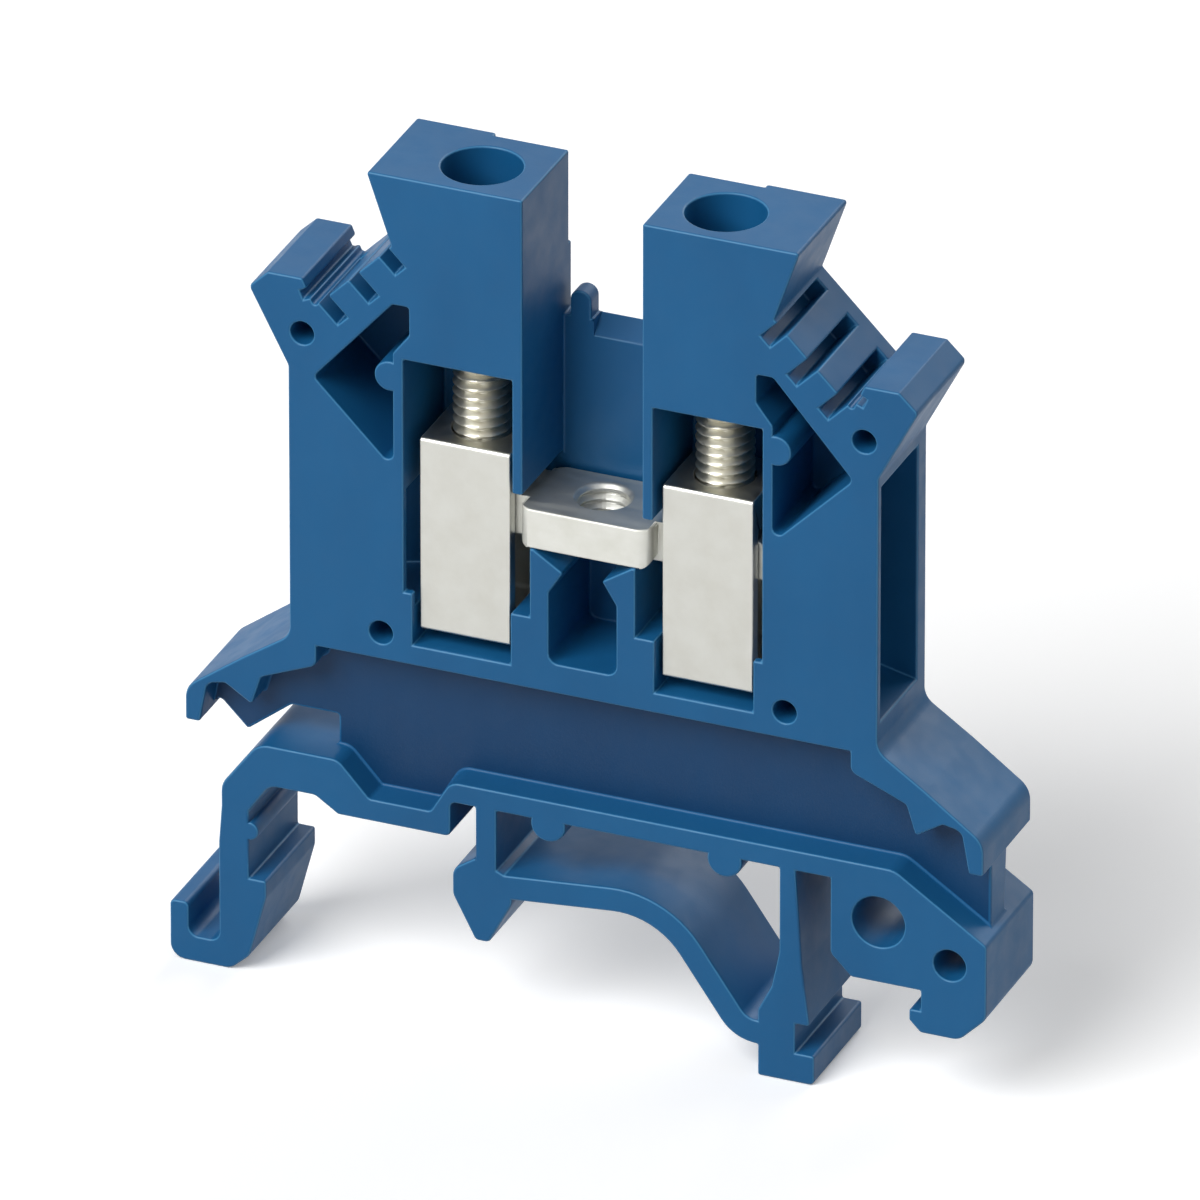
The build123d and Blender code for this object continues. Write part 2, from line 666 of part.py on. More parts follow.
def housing():
    """The one-piece moulding, open on its front side."""
    form = body() - bridge_shaft() - link_pocket()
    form -= both_sides(clamp_chamber())
    form -= both_sides(screw_seat())
    form -= both_sides(corner_cavity())
    form -= both_sides(wire_funnel())
    form -= both_sides(marker_pockets())
    form -= both_sides(lip_undercut())
    form -= both_sides(pin_holes())
    form -= both_sides(tower_relief())
    foot = foot_bar() + latch_arm() + strut() + spring_leaf() + foot_leg() + fixed_foot() + foot_knobs()
    whole = form + label_web() + slab(foot, 0, thickness)
    return whole - slab(foot_holes(), -PAST, thickness + PAST)


def current_bar():
    """Wide middle with the tapped bridge hole, and narrower ends that reach through the cages."""
    tongue_half = window_half - TONGUE_PLAY
    tongue_end = clamp_x + CAGE_WIDE / 2 + TONGUE_REACH
    shoulder = clamp_x - CAGE_WIDE / 2 - SHOULDER_GAP
    middle = symmetric((shoulder, bar_bottom, ROUND), (shoulder, bar_top, CRISP))
    bar_deep = cavity_depth - BAR_FRONT_GAP - BAR_BACK_GAP
    bar_y = (cavity_depth + BAR_FRONT_GAP - BAR_BACK_GAP - thickness) / 2
    plan = Pos(0, bar_y, bar_bottom) * RectangleRounded(2 * shoulder, bar_deep, BAR_CORNER)
    tongue = symmetric((tongue_end, bar_bottom, CRISP), (tongue_end, bar_top, ROUND))
    bar = slab(middle, 0, cavity_depth) & extrude(plan, amount=BAR_THICK)
    bar += slab(tongue, screw_depth - tongue_half, screw_depth + tongue_half)
    bar -= upright(0, BRIDGE_R, bar_bottom - PAST, bar_top + PAST)
    mouth = Pos(0, screw_y, bar_top - BRIDGE_CHAMFER / 2)
    bar -= mouth * Cone(BRIDGE_R, BRIDGE_R + BRIDGE_CHAMFER, BRIDGE_CHAMFER)
    first = clamp_x - GRIP_STEP * (GRIP_COUNT - 1) / 2
    for count in range(GRIP_COUNT):
        x = first + count * GRIP_STEP
        peak = (x, bar_bottom + GRIP_DEEP)
        groove = outline((x - GRIP_DEEP, bar_bottom), peak, (x + GRIP_DEEP, bar_bottom))
        bar -= both_sides(slab(groove, 0, cavity_depth))
    return bar


def clamp_cage():
    """Sleeve around the bar end, tapped in its thick top plate."""
    low = (Align.CENTER, Align.CENTER, Align.MIN)
    block = Box(CAGE_WIDE, 2 * cage_half_deep, plate_top - cage_bottom, align=low)
    block = fillet(block.edges().filter_by(Axis.X), CAGE_ROUND)
    window = Box(CAGE_WIDE + PAST, 2 * window_half, plate_bottom - window_floor, align=low)
    window = fillet(window.edges().filter_by(Axis.X), WINDOW_ROUND)
    cage = Pos(clamp_x, screw_y, cage_bottom) * block - Pos(clamp_x, screw_y, window_floor) * window
    return cage - upright(clamp_x, SCREW_R + THREAD_GAP, plate_bottom - PAST, plate_top + PAST)


def clamp_screw():
    """Slotted screw whose head turns on the chamber ceiling and whose tip ends at the bar."""
    head_low = head_seat + HEAD_LIFT
    head_top = head_low + HEAD_TALL
    head = upright(clamp_x, head_r, head_low, head_top)
    head = chamfer(head.edges().group_by(Axis.Z)[-1], HEAD_CHAMFER)
    shank = upright(clamp_x, SCREW_R, bar_top + TIP_GAP, head_low)
    shank = chamfer(shank.edges().group_by(Axis.Z)[0], TIP_CHAMFER)
    slot = Box(2 * head_r + PAST, HEAD_SLOT_WIDE, 2 * HEAD_SLOT_DEEP)
    return head + shank - Pos(clamp_x, screw_y, head_top) * slot


def main():
    right = {"clamp_cage": clamp_cage(), "clamp_screw": clamp_screw()}
    parts = {"housing": housing(), "current_bar": current_bar()}
    for name, shape in right.items():
        parts["right_" + name] = shape
        parts["left_" + name] = mirror(shape, about=Plane.YZ)
    os.makedirs("parts", exist_ok=True)
    for name, shape in parts.items():
        export_step(shape, f"parts/{name}.step")


main()
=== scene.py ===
import bmesh
import bpy
import math
from mathutils import Matrix, Vector


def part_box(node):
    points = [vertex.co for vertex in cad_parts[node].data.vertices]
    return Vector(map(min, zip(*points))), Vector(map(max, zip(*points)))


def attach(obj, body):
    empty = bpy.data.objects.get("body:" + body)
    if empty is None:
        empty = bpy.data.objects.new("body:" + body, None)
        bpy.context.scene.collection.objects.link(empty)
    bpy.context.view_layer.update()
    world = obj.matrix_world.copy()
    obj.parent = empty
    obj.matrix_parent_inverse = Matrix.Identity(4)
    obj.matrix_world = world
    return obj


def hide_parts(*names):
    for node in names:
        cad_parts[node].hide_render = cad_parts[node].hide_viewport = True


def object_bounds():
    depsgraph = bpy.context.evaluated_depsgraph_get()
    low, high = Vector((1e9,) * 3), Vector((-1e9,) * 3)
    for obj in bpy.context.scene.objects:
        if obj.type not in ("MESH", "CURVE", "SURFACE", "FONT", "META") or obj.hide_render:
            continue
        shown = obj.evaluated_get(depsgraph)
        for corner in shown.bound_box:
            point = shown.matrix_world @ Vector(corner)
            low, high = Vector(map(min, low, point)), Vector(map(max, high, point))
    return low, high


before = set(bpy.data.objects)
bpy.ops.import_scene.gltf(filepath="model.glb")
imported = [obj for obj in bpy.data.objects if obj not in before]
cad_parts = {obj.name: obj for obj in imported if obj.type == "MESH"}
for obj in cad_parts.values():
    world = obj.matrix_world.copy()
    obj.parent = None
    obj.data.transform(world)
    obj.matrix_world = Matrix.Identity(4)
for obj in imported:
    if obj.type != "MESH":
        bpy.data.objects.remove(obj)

# One open-sided rail terminal block. Metres; X across the block, Y through it, Z up from the rail seat.
MM = 0.001
SIDES = ("left", "right")

# Rounding of edges: full widths, and the slots that tell a mesh's own faces from the rounded ones
HOUSING_ROUND = 0.13 * MM
CAGE_ROUND = 0.08 * MM
BAR_ROUND = 0.1 * MM
ROUND_STEPS = 2
OWN, GROWN = 0, 1
# Mask of outer rounded edges: wear on the metals, and wear plus a painted highlight on the blue plastic.
EDGE_WEAR_AND_HIGHLIGHT_LAYER = "edge_wear_and_highlight"

# Faces that meet at less than SEAM_ANGLE are one flat face. Edges sharper than BREAK_ANGLE are
# rounded. The screws shade smoothly up to SMOOTH_ANGLE. Corners closer than WELD are one.
SEAM_ANGLE = math.radians(1)
BREAK_ANGLE = math.radians(8)
SMOOTH_ANGLE = math.radians(35)
WELD = 0.001 * MM

# An edge whose room times angle is below ARC_LIMIT is one step of an arc and stays as it is. A rounding
# takes at most ROOM_SHARE of its room, and is left out where that is less than LEAST_SHARE of its full
# width. The room is looked for from the REACH_SHARES of an edge's length, up to FAR.
ARC_LIMIT = 0.12 * MM
ROOM_SHARE = 0.42
LEAST_SHARE = 0.3
REACH_SHARES = (0.08, 0.5, 0.92)
FAR = 1.0

# Label field: its depth below the housing's front, and what counts as its floor
# Label field faces are marked for a coarser grain and for painted shade, a darker blue for the shade of
# its recess.
FIELD_SHADE_AND_GRAIN_LAYER = "label_field_shade_and_grain"
FIELD_DEEP = 1.6 * MM
FIELD_SLACK = 0.05 * MM
FIELD_LEAST = 5 * MM * MM
FACES_FRONT = -0.99

# Screw threads: the ridge is cut off flat at crest and root, and fades out over THREAD_TAPER
PITCH = 0.5 * MM
THREAD_DEEP = 0.3 * MM
THREAD_STEPS = 40
ROWS_PER_PITCH = 8
THREAD_TAPER = 0.35 * MM
RIDGE_GAIN = 1.25
ROOT_CUT = 0.1

# Clamp screws: chamfered tip, undercut and slotted head. Tip and shoulder are shares of the core radius.
TIP_SHARE = 0.55
SHOULDER_SHARE = 0.9
SHOULDER_RISE = 0.12 * MM
THREAD_START = 0.25 * MM
UNDERCUT = 0.35 * MM
HEAD_OVERHANG = 0.3 * MM
HEAD_TALL = 1.8 * MM
HEAD_EDGE = 0.18 * MM
SLOT_WIDE = 0.7 * MM
SLOT_DEEP = 0.9 * MM
SLOT_CUTTER_RADII = 3

# Bridge hole in the bar: thread radii, depth of its mouth, and what tells its wall from other faces
BRIDGE_R = 1.25 * MM
BRIDGE_R_OUTER = 1.5 * MM
MOUTH_DEEP = 0.25 * MM
WALL_SLACK = 1.06
WALL_SLOPE = 0.2

# The sRGB curve between screen and linear values
SCREEN_MOST = 255
CURVE_START = 0.04045
CURVE_SLOPE = 12.92
CURVE_SHIFT = 0.055
CURVE_SCALE = 1.055
CURVE_POWER = 2.4

# Noise scales are per metre. NOISE_SPAN is the range that holds nearly all values of a noise.
NOISE_SPAN = (0.3, 0.7)

# Blue plastic: pairs of screen colours that the flow marks run between, and relief of body and field
BODY_BLUES = ((18, 85, 132), (22, 93, 142))
# Darker blues of the label field: painted shade inside the recess, on the same plastic as the body.
FIELD_PAINTED_SHADE_BLUES = ((10, 55, 94), (13, 62, 103))
# Paler blue of outer edges: partly wear, partly a painted highlight along the rounded edges.
WORN_AND_HIGHLIGHT_BLUE = (66, 134, 178)
WORN_AND_HIGHLIGHT_SPAN = (0.3, 1.0)
WORN_AND_HIGHLIGHT_SHARE = 0.8
FLOW_SCALE = 160
FLOW_STRETCH = (1.0, 1.0, 0.45)
BLUE_ROUGH = (0.4, 0.5)
BLUE_ROUGH_SCALE = 900
BLUE_IOR = 1.53
BLUE_SPECULAR = 0.28
GRAIN_SCALE = 9000
GRAIN_STRENGTHS = (0.12, 0.45)
GRAIN_DEEP = 0.02 * MM
WAVE_SCALE = 120
WAVE_STRENGTH = 0.2
WAVE_DEEP = 0.15 * MM

# Plated metals: clean and stained colour, range of roughness, and how the drawn streaks are stretched
NICKEL = {
    "pale": (0.6, 0.6, 0.56, 1),
    "dull": (0.56, 0.555, 0.51, 1),
    "rough": (0.3, 0.4),
    "stretch": (1, 1, 0.08),
}
TIN = {
    "pale": (0.66, 0.66, 0.62, 1),
    "dull": (0.6, 0.6, 0.55, 1),
    "rough": (0.44, 0.56),
    "stretch": (0.1, 1, 1),
}
ZINC = {
    "pale": (0.6, 0.585, 0.505, 1),
    "dull": (0.5, 0.475, 0.39, 1),
    "rough": (0.34, 0.46),
    "stretch": (1, 1, 0.3),
}
STAIN_SCALE = 700
STAIN_SPAN = (0.35, 0.72)
WORN_ROUGHER = 0.16
WORN_DULLER = 0.35
STREAK_SCALE = 2200
STREAK_STRENGTH = 0.08
STREAK_DEEP = 0.01 * MM
DENT_SCALE = 400
DENT_STRENGTH = 0.1
DENT_DEEP = 0.03 * MM

# Studio paper and surroundings: how they light the block, and how they look
WHITE = (1, 1, 1, 1)
PAPER_GREYS = ((0.44, 0.44, 0.44, 1), (0.46, 0.46, 0.46, 1))
PAPER_SEEN = (0.98, 0.98, 0.98, 1)
PAPER_SCALE = 25
PAPER_ROUGH = 0.9
PAPER_LIFT = 0.2
FLOOR_HALF = 3.0
FLOOR_CORNERS = ((-1, -1), (1, -1), (1, 1), (-1, 1))
WORLD_LIGHT = 0.15
WORLD_SEEN = 1.0

# Lamps: name, azimuth and elevation in degrees, distance and side in metres, power in watts
LAMPS = (
    ("key", -25, 43, 0.9, 0.6, 8.3),
    ("fill", 60, 25, 1.1, 0.8, 0.7),
    ("back", 170, 34, 1.0, 0.7, 3.9),
)

# Camera: the photograph's direction, and the share of the frame that the block's height takes
VIEW_AZIMUTH = 22.6
VIEW_ELEVATION = 28.1
VIEW_DISTANCE = 1.43
FRAME_SHARE = 0.78
SENSOR = 36.0


def linear(colour):
    """Turn a screen colour, with values up to SCREEN_MOST, into a linear one."""
    values = []
    for value in colour:
        share = value / SCREEN_MOST
        if share <= CURVE_START:
            values.append(share / CURVE_SLOPE)
        else:
            values.append(((share + CURVE_SHIFT) / CURVE_SCALE) ** CURVE_POWER)
    return (*values, 1.0)


class Nodes:
    """A material with short calls that add and join its shader nodes."""

    def __init__(self, name):
        self.material = bpy.data.materials.new(name)
        self.material.use_nodes = True
        self.tree = self.material.node_tree
        self.shader = self.tree.nodes["Principled BSDF"]
        self.place = self.add("ShaderNodeTexCoord").outputs["Object"]

    def add(self, kind, **settings):
        """Add a node and change its settings."""
        node = self.tree.nodes.new(kind)
        for name, value in settings.items():
            setattr(node, name, value)
        return node

    def feed(self, node, **values):
        """Set a node's sockets to plain values, or join other nodes' outputs to them."""
        for name, value in values.items():
            socket = node.inputs[name.replace("_", " ")]
            if isinstance(value, bpy.types.NodeSocket):
                self.tree.links.new(value, socket)
            else:
                socket.default_value = value

    def attribute(self, name):
        """A number stored on the mesh."""
        return self.add("ShaderNodeAttribute", attribute_name=name).outputs["Fac"]

    def noise(self, scale, detail=3.0, roughness=0.5, stretch=(1, 1, 1)):
        """Fractal noise with its scale given per metre."""
        mapping = self.add("ShaderNodeMapping")
        self.feed(mapping, Scale=stretch, Vector=self.place)
        noise = self.add("ShaderNodeTexNoise")
        self.feed(noise, Scale=scale, Detail=detail, Roughness=roughness)
        self.feed(noise, Vector=mapping.outputs["Vector"])
        return noise.outputs["Fac"]

    def spread(self, value, span=(0.0, 1.0), onto=(0.0, 1.0)):
        """Map a value's range onto another one."""
        ramp = self.add("ShaderNodeMapRange")
        self.feed(ramp, From_Min=span[0], From_Max=span[1], To_Min=onto[0], To_Max=onto[1], Value=value)
        return ramp.outputs["Result"]

    def total(self, first, second):
        """Add two values."""
        node = self.add("ShaderNodeMath", operation="ADD")
        self.tree.links.new(first, node.inputs[0])
        self.tree.links.new(second, node.inputs[1])
        return node.outputs["Value"]

    def blend(self, share, first, second):
        """Mix two colours, each a colour or another node's output."""
        mix = self.add("ShaderNodeMix", data_type="RGBA")
        self.feed(mix, Factor=share, A=first, B=second)
        return mix.outputs["Result"]

    def bump(self, height, strength, distance, after=None):
        """Add relief, on top of an earlier relief if one is given."""
        bump = self.add("ShaderNodeBump")
        self.feed(bump, Strength=strength, Distance=distance, Height=height)
        if after is not None:
            self.feed(bump, Normal=after)
        return bump.outputs["Normal"]


def moulded_plastic():
    """Blue polyamide, faint flow marks, edges paled by wear and painted highlight, a coarser label field
    in painted shade.
    """
    n = Nodes("blue_polyamide")
    flow = n.spread(n.noise(FLOW_SCALE, detail=4.0, roughness=0.55, stretch=FLOW_STRETCH), NOISE_SPAN)
    body = n.blend(flow, *map(linear, BODY_BLUES))
    field = n.attribute(FIELD_SHADE_AND_GRAIN_LAYER)
    # Painted shade: the label field is blended to a darker blue for the shade of its recess.
    shaded = n.blend(field, body, n.blend(flow, *map(linear, FIELD_PAINTED_SHADE_BLUES)))
    wear_and_highlight = n.spread(n.attribute(EDGE_WEAR_AND_HIGHLIGHT_LAYER), WORN_AND_HIGHLIGHT_SPAN, (0.0, WORN_AND_HIGHLIGHT_SHARE))
    # Outer edges blend towards a paler blue: partly wear, partly painted highlight.
    colour = n.blend(wear_and_highlight, shaded, linear(WORN_AND_HIGHLIGHT_BLUE))
    rough = n.spread(n.noise(BLUE_ROUGH_SCALE), NOISE_SPAN, BLUE_ROUGH)
    grain = n.bump(n.noise(GRAIN_SCALE, detail=2.0), n.spread(field, onto=GRAIN_STRENGTHS), GRAIN_DEEP)
    waves = n.bump(n.noise(WAVE_SCALE, detail=2.0), WAVE_STRENGTH, WAVE_DEEP, after=grain)
    n.feed(n.shader, Base_Color=colour, Roughness=rough, Normal=waves)
    n.feed(n.shader, IOR=BLUE_IOR, Specular_IOR_Level=BLUE_SPECULAR)
    return n.material


def plated_metal(name, pale, dull, rough, stretch):
    """Plated steel or copper with drawn streaks, small stains, a soft gloss and duller broken edges."""
    n = Nodes(name)
    stain = n.spread(n.noise(STAIN_SCALE, detail=5.0, roughness=0.6), STAIN_SPAN)
    streak = n.noise(STREAK_SCALE, detail=2.0, stretch=stretch)
    worn = n.attribute(EDGE_WEAR_AND_HIGHLIGHT_LAYER)
    gloss = n.total(n.spread(streak, NOISE_SPAN, rough), n.spread(worn, onto=(0.0, WORN_ROUGHER)))
    relief = n.bump(streak, STREAK_STRENGTH, STREAK_DEEP)
    dents = n.bump(n.noise(DENT_SCALE, detail=1.0), DENT_STRENGTH, DENT_DEEP, after=relief)
    colour = n.blend(n.spread(worn, onto=(0.0, WORN_DULLER)), n.blend(stain, pale, dull), dull)
    n.feed(n.shader, Base_Color=colour, Metallic=1.0, Roughness=gloss, Normal=dents)
    return n.material


def seen_directly(tree):
    """One for a ray from the camera, a reflection or a refraction, and zero for one that only lights."""
    path = tree.nodes.new("ShaderNodeLightPath").outputs
    seen = path["Is Camera Ray"]
    for ray in ("Is Glossy Ray", "Is Transmission Ray"):
        either = tree.nodes.new("ShaderNodeMath")
        either.operation = "MAXIMUM"
        tree.links.new(seen, either.inputs[0])
        tree.links.new(path[ray], either.inputs[1])
        seen = either.outputs["Value"]
    return seen


def floor_paper():
    """Matt studio paper that is lifted to plain white where the camera or a reflection sees it."""
    n = Nodes("studio_paper")
    paper = n.blend(n.spread(n.noise(PAPER_SCALE, detail=2.0), NOISE_SPAN), *PAPER_GREYS)
    seen = seen_directly(n.tree)
    colour = n.blend(seen, paper, PAPER_SEEN)
    lift = n.spread(seen, onto=(0.0, PAPER_LIFT))
    n.feed(n.shader, Base_Color=colour, Roughness=PAPER_ROUGH, Specular_IOR_Level=0.0)
    n.feed(n.shader, Emission_Color=WHITE, Emission_Strength=lift)
    return n.material


def placed(name, data):
    """Put a new object with the given data into the scene."""
    thing = bpy.data.objects.new(name, data)
    bpy.context.scene.collection.objects.link(thing)
    return thing


def new_piece(name, mesh, material, body, node):
    """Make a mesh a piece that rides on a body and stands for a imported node."""
    piece = placed(name, mesh)
    mesh.materials.clear()
    mesh.materials.append(material)
    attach(piece, body)
    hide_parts(node)


def new_mesh(bm, name):
    """Turn a bmesh into a mesh of its own."""
    mesh = bpy.data.meshes.new(name)
    bm.to_mesh(mesh)
    bm.free()
    return mesh


def modified(thing):
    """Mesh of an object with its modifiers applied."""
    graph = bpy.context.evaluated_depsgraph_get()
    return bpy.data.meshes.new_from_object(thing.evaluated_get(graph))


def cleaned(node):
    """Copy a node's mesh, welded and with its flat faces made whole."""
    bm = bmesh.new()
    bm.from_mesh(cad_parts[node].data)
    bmesh.ops.remove_doubles(bm, verts=bm.verts, dist=WELD)
    bmesh.ops.dissolve_limit(bm, angle_limit=SEAM_ANGLE, verts=bm.verts, edges=bm.edges)
    return bm


def flat_regions(bm):
    """Number the flat regions and list each one's rim, leaving out seams inside a flat face."""
    region = {}
    rims = []
    for face in bm.faces:
        if face in region:
            continue
        region[face] = len(rims)
        rim, todo = [], [face]
        while todo:
            for edge in todo.pop().edges:
                if not edge.is_manifold or edge.calc_face_angle(0) > SEAM_ANGLE:
                    rim.append(edge)
                    continue
                for other in edge.link_faces:
                    if other not in region:
                        region[other] = len(rims)
                        todo.append(other)
        rims.append([(edge, edge.verts[0].co.copy(), edge.verts[1].co.copy()) for edge in rim])
    return region, rims


def reach_inside(loop, rim):
    """Shortest way from an edge, straight across its flat region, to the region's far rim."""
    start, end = loop.vert.co, loop.link_loop_next.vert.co
    way = loop.face.normal.cross(end - start).normalized()
    along = (end - start).normalized()
    nearest = FAR
    for share in REACH_SHARES:
        point = start.lerp(end, share)
        for edge, a, b in rim:
            if edge is loop.edge:
                continue
            side_a, side_b = (a - point).dot(along), (b - point).dot(along)
            if side_a * side_b > 0 or side_a == side_b:
                continue
            distance = (a.lerp(b, side_a / (side_a - side_b)) - point).dot(way)
            if distance > WELD:
                nearest = min(nearest, distance)
    return nearest


def mark_edges(bm, width):
    """Weight the edges that get rounded, and split the shading at those too tight for it."""
    weights = bm.edges.layers.float.new("bevel_weight_edge")
    bm.normal_update()
    region, rims = flat_regions(bm)
    for edge in bm.edges:
        if not edge.is_manifold:
            continue
        angle = edge.calc_face_angle(0)
        if angle <= SEAM_ANGLE:
            continue
        room = min(reach_inside(loop, rims[region[loop.face]]) for loop in edge.link_loops)
        if room * angle < ARC_LIMIT:
            continue
        fitting = min(width, ROOM_SHARE * room)
        if angle > BREAK_ANGLE and fitting > LEAST_SHARE * width:
            edge[weights] = fitting / width
        else:
            edge.smooth = False


def stands_out(vert, normal):
    """Tell whether a vertex lies on an outer edge and not in an inner corner."""
    around = sum((edge.other_vert(vert).co for edge in vert.link_edges), Vector((0, 0, 0)))
    return (vert.co - around / len(vert.link_edges)).dot(normal) > 0


def smooth_fan(loop):
    """Faces round a loop's corner that shade as one surface with it."""
    vert, found, todo = loop.vert, {loop.face}, [loop.face]
    while todo:
        for edge in todo.pop().edges:
            if vert not in edge.verts or not edge.smooth:
                continue
            for other in edge.link_faces:
                if other.material_index == OWN and other not in found:
                    found.add(other)
                    todo.append(other)
    return found


def corner_normals(mesh):
    """Shade flat faces flat and arcs smooth, with the rounded edges running from one into the other."""
    bm = bmesh.new()
    bm.from_mesh(mesh)
    bm.normal_update()
    wear_and_highlight = bm.loops.layers.float.new(EDGE_WEAR_AND_HIGHLIGHT_LAYER)
    area = {face: face.calc_area() for face in bm.faces}
    normals = {}
    for vert in bm.verts:
        own = [loop for loop in vert.link_loops if loop.face.material_index == OWN]
        grown = [loop for loop in vert.link_loops if loop.face.material_index != OWN]
        for loop in own:
            total = Vector((0, 0, 0))
            for face in smooth_fan(loop):
                total += face.normal * area[face] ** 2
            normals[loop] = total.normalized() if total.length > 0 else loop.face.normal
        average = sum((loop.face.normal * area[loop.face] for loop in grown), Vector((0, 0, 0)))
        for loop in grown:
            if own:
                normals[loop] = max((normals[other] for other in own), key=loop.face.normal.dot)
            else:
                normals[loop] = average.normalized() if average.length > 0 else loop.face.normal
                # Outer rounded edges are marked for wear and, on the plastic, for a painted highlight.
                loop[wear_and_highlight] = float(stands_out(vert, normals[loop]))
    listed = [normals[loop][:] for face in bm.faces for loop in face.loops]
    bm.to_mesh(mesh)
    bm.free()
    mesh.normals_split_custom_set(listed)


def finished(bm, name, width):
    """Turn a bmesh into a mesh with rounded edges and clean shading."""
    mark_edges(bm, width)
    mesh = new_mesh(bm, name)
    for _ in (OWN, GROWN):
        mesh.materials.append(None)
    holder = placed(f"{name}_holder", mesh)
    bevel = holder.modifiers.new("rounding", "BEVEL")
    bevel.width = width
    bevel.segments = ROUND_STEPS
    bevel.limit_method = "WEIGHT"
    bevel.use_clamp_overlap = False
    bevel.loop_slide = False
    bevel.miter_outer = "MITER_SHARP"
    bevel.material = GROWN
    result = modified(holder)
    result.name = name
    bpy.data.objects.remove(holder)
    for polygon in result.polygons:
        polygon.use_smooth = True
    corner_normals(result)
    for polygon in result.polygons:
        polygon.material_index = OWN
    return result


def smooth_by_angle(mesh):
    """Shade smoothly except across edges sharper than SMOOTH_ANGLE."""
    bm = bmesh.new()
    bm.from_mesh(mesh)
    for face in bm.faces:
        face.smooth = True
    for edge in bm.edges:
        edge.smooth = edge.is_manifold and edge.calc_face_angle(0) < SMOOTH_ANGLE
    bm.to_mesh(mesh)
    bm.free()


def circle_point(centre, radius, step, height):
    """One of the THREAD_STEPS points of a level circle."""
    angle = math.tau * step / THREAD_STEPS
    return Vector((centre.x + radius * math.cos(angle), centre.y + radius * math.sin(angle), height))


def ring(centre, radius, height):
    """Points of one level circle."""
    return [circle_point(centre, radius, step, height) for step in range(THREAD_STEPS)]


def thread_rows(centre, core, crest, low, high):
    """Rows of a right-hand screw thread between two heights, faded out at both ends."""
    count = max(2, round((high - low) / PITCH * ROWS_PER_PITCH))
    rows = []
    for row in range(count + 1):
        height = low + (high - low) * row / count
        fade = min(1.0, (height - low) / THREAD_TAPER, (high - height) / THREAD_TAPER)
        points = []
        for step in range(THREAD_STEPS):
            phase = (height / PITCH - step / THREAD_STEPS) % 1.0
            ridge = 1.0 - abs(2 * phase - 1)
            ridge = min(1.0, max(0.0, RIDGE_GAIN * ridge - ROOT_CUT))
            radius = core + (crest - core) * ridge * fade
            points.append(circle_point(centre, radius, step, height))
        rows.append(points)
    return rows


def tube(bm, rows):
    """Join closed rows of points into a surface and return its first and last row of corners."""
    made = [[bm.verts.new(point) for point in row] for row in rows]
    for low, high in zip(made, made[1:]):
        for i in range(THREAD_STEPS):
            j = (i + 1) % THREAD_STEPS
            bm.faces.new((low[i], low[j], high[j], high[i]))
    return made[0], made[-1]


def mark_label_field(mesh):
    """Mark the flat recess between body and foot, which has a coarser grain and painted shade."""
    low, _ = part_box("housing")
    layer = mesh.attributes.new(FIELD_SHADE_AND_GRAIN_LAYER, "FLOAT", "FACE")
    for polygon in mesh.polygons:
        deep = polygon.center.y - low.y
        flat = polygon.normal.y < FACES_FRONT and polygon.area > FIELD_LEAST
        layer.data[polygon.index].value = float(flat and abs(deep - FIELD_DEEP) < FIELD_SLACK)


def make_housing(material):
    """The moulding with its small edge radii."""
    mesh = finished(cleaned("housing"), "housing_moulding", HOUSING_ROUND)
    mark_label_field(mesh)
    new_piece("housing_moulding", mesh, material, "block", "housing")


def make_cage(side, material):
    """A stamped and folded cage with broken edges."""
    node = f"{side}_clamp_cage"
    name = f"{side}_cage_body"
    mesh = finished(cleaned(node), name, CAGE_ROUND)
    new_piece(name, mesh, material, f"{side}_cage", node)


def screw_blank(name, centre, head_r, bottom, top):
    """A turned screw with its thread, still without a slot."""
    head_low = top - HEAD_TALL
    crest = head_r - HEAD_OVERHANG
    core = crest - THREAD_DEEP
    rows = [ring(centre, core * TIP_SHARE, bottom)]
    rows += [ring(centre, core * SHOULDER_SHARE, bottom + SHOULDER_RISE)]
    rows += thread_rows(centre, core, crest, bottom + THREAD_START, head_low - UNDERCUT)
    rows += [ring(centre, core, head_low), ring(centre, head_r - HEAD_EDGE / 2, head_low)]
    rows += [ring(centre, head_r, head_low + HEAD_EDGE / 2), ring(centre, head_r, top - HEAD_EDGE)]
    rows += [ring(centre, head_r - HEAD_EDGE, top)]
    bm = bmesh.new()
    first, last = tube(bm, rows)
    bm.faces.new(reversed(first))
    bm.faces.new(last)
    return placed(name, new_mesh(bm, name))


def slot_cutter(centre, head_r, top):
    """A block that cuts the driver's slot across the head."""
    bm = bmesh.new()
    bmesh.ops.create_cube(bm, size=1)
    size = Matrix.Diagonal((SLOT_CUTTER_RADII * head_r, SLOT_WIDE, 2 * SLOT_DEEP, 1))
    bm.transform(Matrix.Translation((centre.x, centre.y, top)) @ size)
    return placed("slot_cutter", new_mesh(bm, "slot_cutter"))


def make_screw(side, material):
    """A slotted screw with a cut thread, an undercut below the head and a chamfered tip."""
    node = f"{side}_clamp_screw"
    name = f"{side}_screw_threaded"
    low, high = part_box(node)
    centre = (low + high) / 2
    head_r = (high.x - low.x) / 2
    blank = screw_blank(f"{side}_screw_blank", centre, head_r, low.z, high.z)
    cutter = slot_cutter(centre, head_r, high.z)
    cut = blank.modifiers.new("slot", "BOOLEAN")
    cut.operation, cut.object, cut.solver = "DIFFERENCE", cutter, "EXACT"
    mesh = modified(blank)
    mesh.name = name
    bpy.data.objects.remove(blank)
    bpy.data.objects.remove(cutter)
    smooth_by_angle(mesh)
    new_piece(name, mesh, material, f"{side}_screw", node)


def screw_line_y():
    """Depth of the screw axes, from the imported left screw."""
    low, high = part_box("left_clamp_screw")
    return (low.y + high.y) / 2


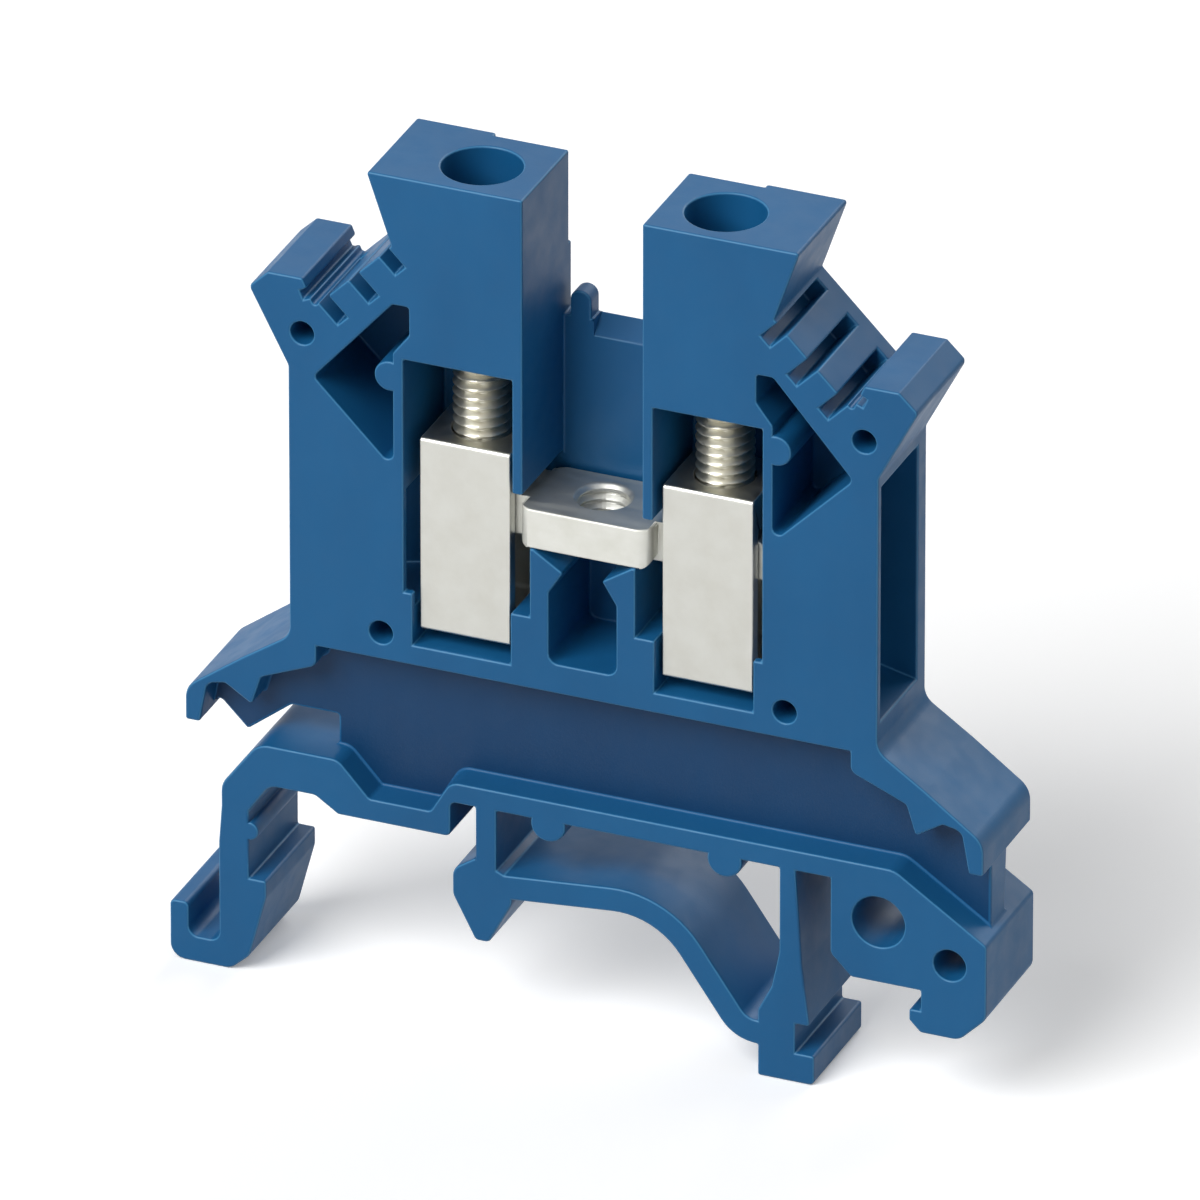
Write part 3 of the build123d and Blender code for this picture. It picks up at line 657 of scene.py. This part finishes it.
def is_hole_wall(face, centre):
    """Tell whether a face belongs to the straight wall of the bridge hole."""
    if abs(face.normal.z) > WALL_SLOPE:
        return False
    reach = max((Vector((v.co.x, v.co.y, 0)) - centre).length for v in face.verts)
    return reach < BRIDGE_R * WALL_SLACK


def make_bar(material):
    """The current bar with rounded edges and a real thread in its bridge hole."""
    low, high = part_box("current_bar")
    centre = Vector((0, screw_line_y(), 0))
    bm = cleaned("current_bar")
    wall = [face for face in bm.faces if is_hole_wall(face, centre)]
    bmesh.ops.delete(bm, geom=wall, context="FACES")
    mesh = finished(bm, "bar_shell", BAR_ROUND)
    bm = bmesh.new()
    bm.from_mesh(mesh)
    rows = thread_rows(centre, BRIDGE_R, BRIDGE_R_OUTER, low.z, high.z - MOUTH_DEEP)
    tube(bm, [list(reversed(row)) for row in rows])
    bm.to_mesh(mesh)
    bm.free()
    mesh.name = "current_bar_tapped"
    new_piece("current_bar_tapped", mesh, material, "block", "current_bar")


def make_floor():
    """A wide pale floor right under the feet of the block."""
    low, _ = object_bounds()
    mesh = bpy.data.meshes.new("floor")
    corners = [(FLOOR_HALF * x, FLOOR_HALF * y, low[2]) for x, y in FLOOR_CORNERS]
    mesh.from_pydata(corners, [], [(0, 1, 2, 3)])
    mesh.materials.append(floor_paper())
    placed("floor", mesh)


def stand(thing, target, azimuth, elevation, distance):
    """Stand a lamp or camera off from a point, in a direction in degrees, and turn it to that point."""
    a, e = math.radians(azimuth), math.radians(elevation)
    way = Vector((math.sin(a) * math.cos(e), -math.cos(a) * math.cos(e), math.sin(e)))
    thing.location = target + way * distance
    thing.rotation_euler = (target - thing.location).to_track_quat("-Z", "Y").to_euler()


def make_lamp(target, name, azimuth, elevation, distance, size, power):
    """A square soft white light."""
    data = bpy.data.lights.new(name, "AREA")
    data.size = size
    data.energy = power
    stand(placed(name, data), target, azimuth, elevation, distance)


def make_camera(target, reach):
    """A long lens at the photograph's viewing angle."""
    data = bpy.data.cameras.new("camera")
    data.sensor_width = SENSOR
    data.lens = SENSOR * VIEW_DISTANCE * FRAME_SHARE / reach
    camera = placed("camera", data)
    stand(camera, target, VIEW_AZIMUTH, VIEW_ELEVATION, VIEW_DISTANCE)
    bpy.context.scene.camera = camera


def make_world():
    """White surroundings that light the block more softly than they look."""
    world = bpy.data.worlds.new("studio")
    world.use_nodes = True
    tree = world.node_tree
    background = tree.nodes["Background"]
    background.inputs["Color"].default_value = WHITE
    level = tree.nodes.new("ShaderNodeMapRange")
    level.inputs["To Min"].default_value = WORLD_LIGHT
    level.inputs["To Max"].default_value = WORLD_SEEN
    tree.links.new(seen_directly(tree), level.inputs["Value"])
    tree.links.new(level.outputs["Result"], background.inputs["Strength"])
    bpy.context.scene.world = world


def main():
    """Dress the six nodes, then set up the studio round them."""
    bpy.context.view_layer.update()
    plastic = moulded_plastic()
    nickel = plated_metal("nickel_plate", **NICKEL)
    tin = plated_metal("tin_plate", **TIN)
    zinc = plated_metal("zinc_plate", **ZINC)
    make_housing(plastic)
    make_bar(tin)
    for side in SIDES:
        make_cage(side, nickel)
        make_screw(side, zinc)

    low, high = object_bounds()
    centre = (Vector(low) + Vector(high)) / 2
    make_world()
    make_floor()
    for lamp in LAMPS:
        make_lamp(centre, *lamp)
    make_camera(centre, high[2] - low[2])
    bpy.context.scene.view_settings.view_transform = "Standard"


main()
